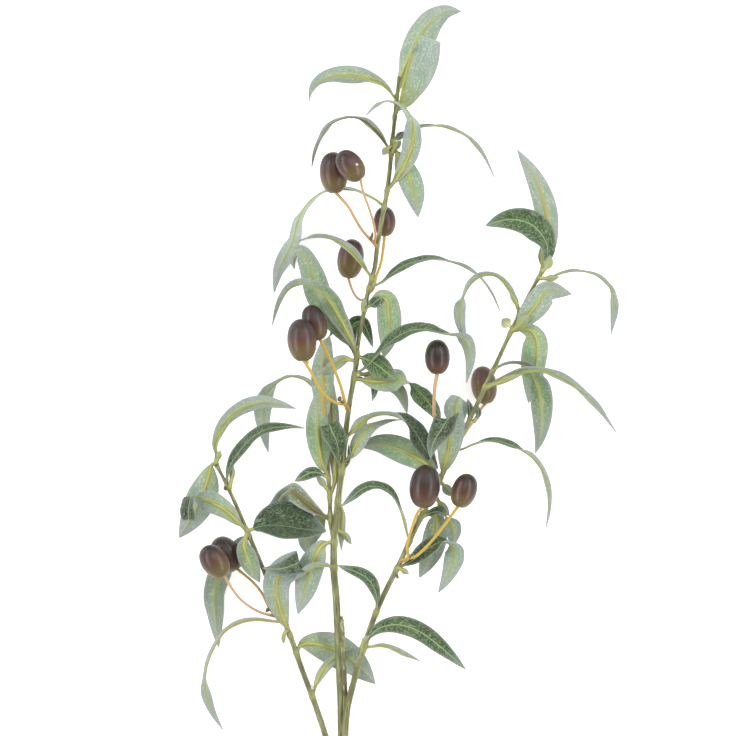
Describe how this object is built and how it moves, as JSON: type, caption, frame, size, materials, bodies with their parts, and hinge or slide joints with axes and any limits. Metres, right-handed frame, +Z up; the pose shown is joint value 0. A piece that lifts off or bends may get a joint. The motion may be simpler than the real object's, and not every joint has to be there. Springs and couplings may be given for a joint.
{
  "type": "artificial olive branch with fruit",
  "caption": "Three forked leafy olive stems on one cut trunk, laid flat, with dark olives standing on thin orange stalks.",
  "frame": {"origin": "on the surface that the branch lies on, under the middle of its outline", "axes": "+Y along the branch from its cut end to its tip, +Z up from the surface it lies on"},
  "size_m": [0.2645, 0.5488, 0.0688],
  "materials": {
    "foliage": "printed cloth leaves on moulded olive green stems, matt",
    "olive_skin": "dark purple brown moulded skin shading to olive brown at the stalk end, soft satin",
    "stalk": "orange shading to yellow, satin"
  },
  "bodies": {
    "root": {"centre_leafy_stem": "foliage", "left_leafy_stem": "foliage", "right_leafy_stem": "foliage", "olive_01": "olive_skin", "olive_02": "olive_skin", "olive_03": "olive_skin", "olive_04": "olive_skin", "olive_05": "olive_skin", "olive_06": "olive_skin", "olive_07": "olive_skin", "olive_08": "olive_skin", "olive_09": "olive_skin", "olive_10": "olive_skin", "olive_11": "olive_skin", "olive_12": "olive_skin", "stalk_pair_top": "stalk", "stalk_03": "stalk", "stalk_04": "stalk", "stalk_pair_left": "stalk", "stalk_pair_right": "stalk", "stalk_pair_middle": "stalk", "stalk_pair_low": "stalk"}
  },
  "joints": []
}
